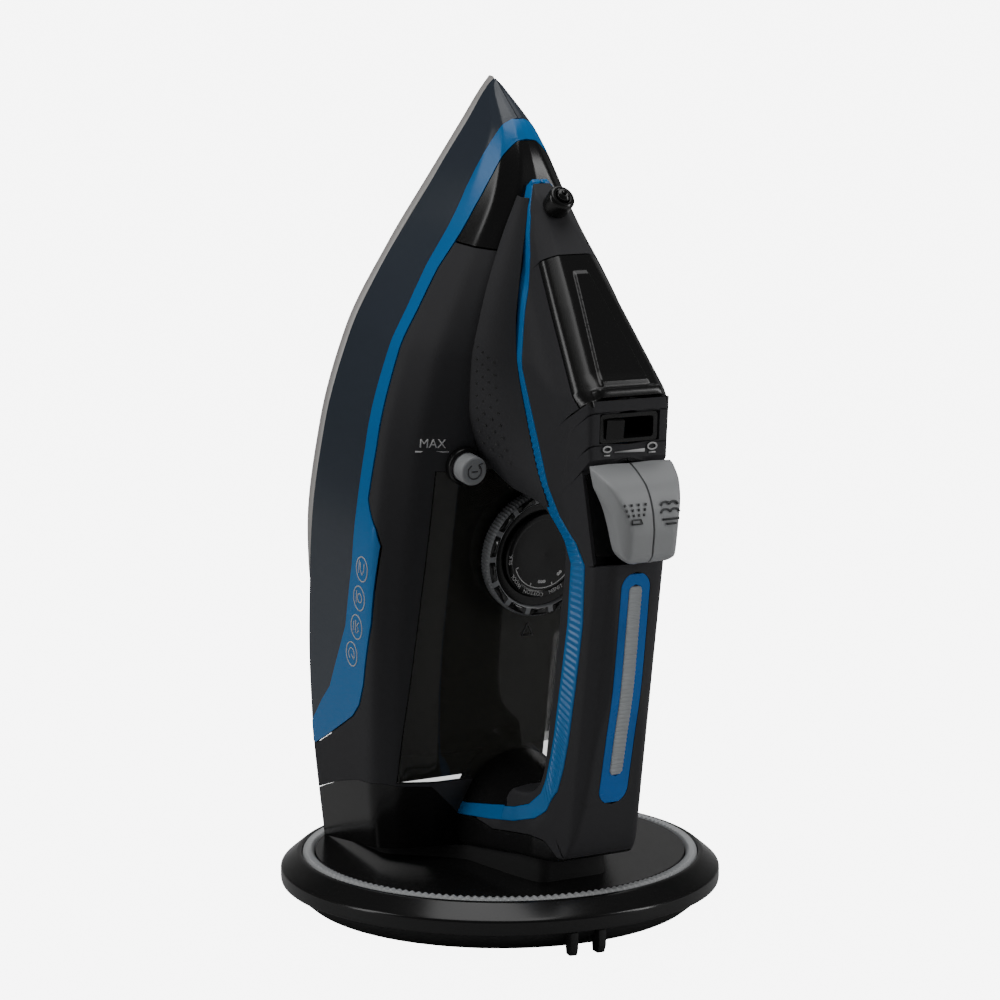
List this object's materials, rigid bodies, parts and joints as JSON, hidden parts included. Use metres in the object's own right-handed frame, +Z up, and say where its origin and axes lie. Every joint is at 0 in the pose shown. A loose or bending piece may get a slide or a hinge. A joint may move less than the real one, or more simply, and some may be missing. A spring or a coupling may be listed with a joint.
{
  "type": "clothes iron",
  "caption": "Cordless steam iron standing on a round charging base, with a loop handle, thumb buttons, steam slider, fabric dial, water tank and fill door.",
  "frame": {"origin": "centre of the charging base's underside, on the surface it stands on", "axes": "+Z up, +X towards the iron's handle side, +Y across the iron; the iron is symmetric about Y = 0 apart from its self-clean button and slider"},
  "size_m": [0.1851, 0.165, 0.3084],
  "materials": {
    "soleplate": "ceramic-coated satin",
    "cast_metal": "as cast",
    "element_steel": "plain",
    "heat_resin": "matte",
    "brushed_skirt": "brushed metallic lacquer",
    "blue_trim": "satin gloss",
    "satin_shell": "satin with fine pearl flake",
    "smoky_tank": "clear smoky plastic",
    "gloss_black": "gloss",
    "matte_black": "matte",
    "light_grey": "satin",
    "knurled_grey": "translucent grey",
    "clear_ring": "clear over silver",
    "clear_lens": "ribbed clear",
    "circuit_board": "white solder mask",
    "contact_metal": "plated",
    "seal_rubber": "matte"
  },
  "bodies": {
    "base": {"base_tray": "gloss_black", "base_rim": "gloss_black", "base_top_plate": "gloss_black", "base_trim_ring": "clear_ring", "dock_cradle": "matte_black", "dock_connector": "matte_black", "dock_contacts": "contact_metal", "base_feet": "seal_rubber", "base_screws": "element_steel", "cord_inlet_bush": "seal_rubber", "terminal_block": "heat_resin"},
    "iron": {"soleplate": "soleplate", "heater_casting": "cast_metal", "heating_element": "element_steel", "steam_chamber_cover": "cast_metal", "thermostat": "element_steel", "thermal_fuse": "element_steel", "heat_shield": "heat_resin", "skirt": "brushed_skirt", "side_band": "blue_trim", "upper_shell": "satin_shell", "tank_window": "smoky_tank", "water_tank": "smoky_tank", "nose_panel": "gloss_black", "heel_cover": "gloss_black", "rear_underpan": "heat_resin", "heel_contacts": "contact_metal", "contact_carrier": "heat_resin", "fill_neck": "heat_resin", "steam_valve_seat": "seal_rubber", "handle_right_shell": "satin_shell", "handle_left_shell": "satin_shell", "handle_rear_foot": "satin_shell", "handle_trim": "blue_trim", "handle_strip": "blue_trim", "strip_lens": "clear_lens", "indicator_board": "circuit_board", "cheek_panel_right": "satin_shell", "cheek_panel_left": "satin_shell", "spray_nozzle_body": "gloss_black", "spray_nozzle_tip": "contact_metal", "door_hinge_pin": "element_steel", "door_seal": "seal_rubber", "slider_bezel": "gloss_black", "slider_pin": "element_steel", "thumb_pumps": "heat_resin", "button_housing": "gloss_black", "spray_hose": "seal_rubber"},
    "dial": {"dial_ring": "knurled_grey", "dial_carrier": "gloss_black", "dial_cap": "gloss_black", "dial_shaft": "heat_resin"},
    "clean_button": {"clean_button": "light_grey"},
    "spray_button": {"spray_button": "light_grey", "spray_piston": "heat_resin"},
    "steam_button": {"steam_button": "light_grey", "steam_piston": "heat_resin"},
    "steam_slider": {"steam_slider": "gloss_black"},
    "steam_valve": {"steam_valve_rod": "element_steel"},
    "fill_door": {"fill_door": "gloss_black"}
  },
  "joints": [
    {"name": "lift_off", "type": "slide", "parent": "base", "child": "iron", "axis": [0, 0, 1], "range_m": [0, 0.12]},
    {"name": "dial_turn", "type": "hinge", "parent": "iron", "child": "dial", "pos_m": [0.02479, 0, 0.13704], "axis": [0.9877, 0, -0.1564], "range_deg": [-70, 200]},
    {"name": "spray_press", "type": "slide", "parent": "iron", "child": "spray_button", "axis": [-0.9877, 0, 0.1564], "range_m": [0, 0.004], "stiffness_N_per_m": 400, "springref_m": -0.002},
    {"name": "steam_press", "type": "slide", "parent": "iron", "child": "steam_button", "axis": [-0.9877, 0, 0.1564], "range_m": [0, 0.004], "stiffness_N_per_m": 400, "springref_m": -0.002},
    {"name": "clean_press", "type": "slide", "parent": "iron", "child": "clean_button", "axis": [-0.9877, 0, 0.1564], "range_m": [0, 0.003], "stiffness_N_per_m": 400, "springref_m": -0.002},
    {"name": "slider_swing", "type": "hinge", "parent": "iron", "child": "steam_slider", "pos_m": [0.06198, 0, 0.19291], "axis": [0.1564, 0, 0.9877], "range_deg": [0, 28]},
    {"name": "valve_lift", "type": "slide", "parent": "iron", "child": "steam_valve", "axis": [0.9877, 0, -0.1564], "range_m": [0, 0.003]},
    {"name": "door_open", "type": "hinge", "parent": "iron", "child": "fill_door", "pos_m": [0.05008, 0, 0.24339], "axis": [0, -1, 0], "range_deg": [0, 65]}
  ],
  "couplings": [
    {"joint": "valve_lift", "follows": "slider_swing", "m_per_rad": 0.005934}
  ]
}
